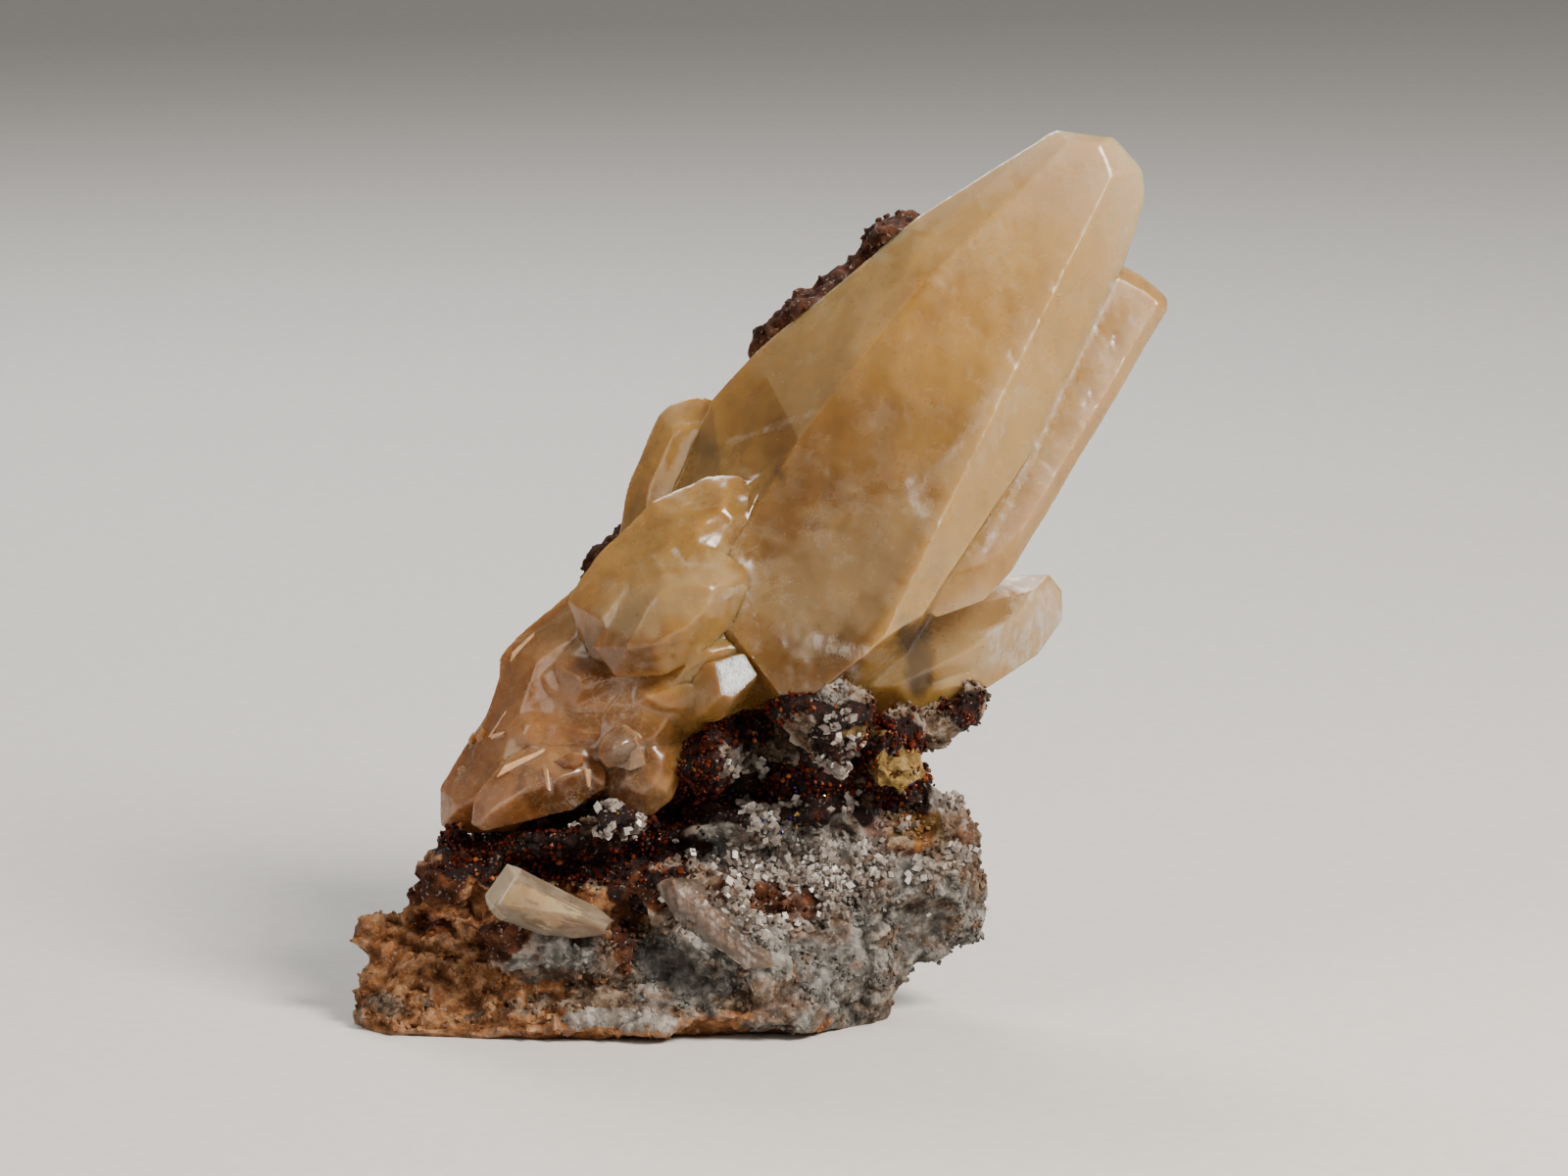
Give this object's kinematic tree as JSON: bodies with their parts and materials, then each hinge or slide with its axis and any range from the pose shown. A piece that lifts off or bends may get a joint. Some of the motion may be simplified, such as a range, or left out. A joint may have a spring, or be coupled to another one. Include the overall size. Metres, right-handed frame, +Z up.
{
  "type": "calcite specimen",
  "caption": "Mineral specimen: pale honey bladed calcite crystals leaning up from a rough rock with a dark sphalerite crust and small calcite prisms.",
  "frame": {"origin": "a point on the flat underside of the rock, under the middle of the rock as seen from the front", "axes": "+Z up, as the specimen stands on its flat underside; the front with the small prisms faces -Y and the great blade leans to +X"},
  "size_m": [0.085, 0.0467, 0.0876],
  "materials": {
    "rock": "rough broken rock",
    "calcite": "translucent crystal faces",
    "clear_calcite": "translucent crystal faces",
    "pink_calcite": "frosted crystal faces"
  },
  "bodies": {
    "root": {"matrix_rock": "rock", "calcite_cluster": "calcite", "ledge_prism": "clear_calcite", "lying_prism": "pink_calcite"}
  },
  "joints": []
}
